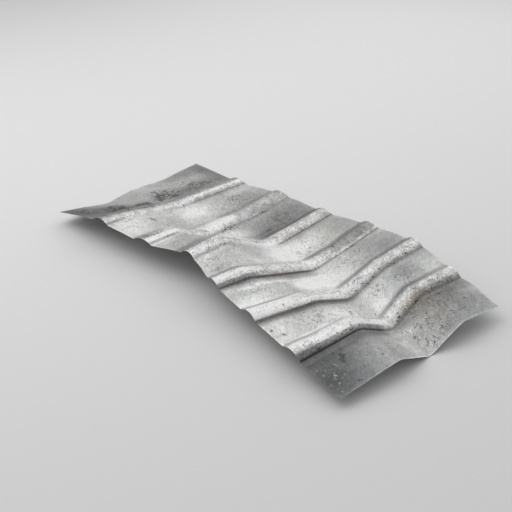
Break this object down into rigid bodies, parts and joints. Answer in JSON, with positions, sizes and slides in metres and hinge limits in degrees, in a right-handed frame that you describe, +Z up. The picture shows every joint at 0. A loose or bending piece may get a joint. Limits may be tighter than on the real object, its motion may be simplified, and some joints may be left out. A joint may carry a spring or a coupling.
{
  "type": "ribbed corrugated metal sheet",
  "caption": "Thin galvanised steel sheet with rounded ribs across flat pans, buckled and weathered by rough handling; lies loose on the floor as cladding or roofing stock.",
  "frame": {"origin": "on the floor, under the middle of the sheet's bounding box", "axes": "+X across the ribs towards the end with the shorter plain flat, +Y along the ribs, +Z up"},
  "size_m": [1.2162, 0.6132, 0.1017],
  "materials": {
    "galvanised_steel": "dull cloudy zinc, scuffed, with fine dark pits and light stains"
  },
  "bodies": {
    "root": {"ribbed_sheet": "galvanised_steel"}
  },
  "joints": []
}
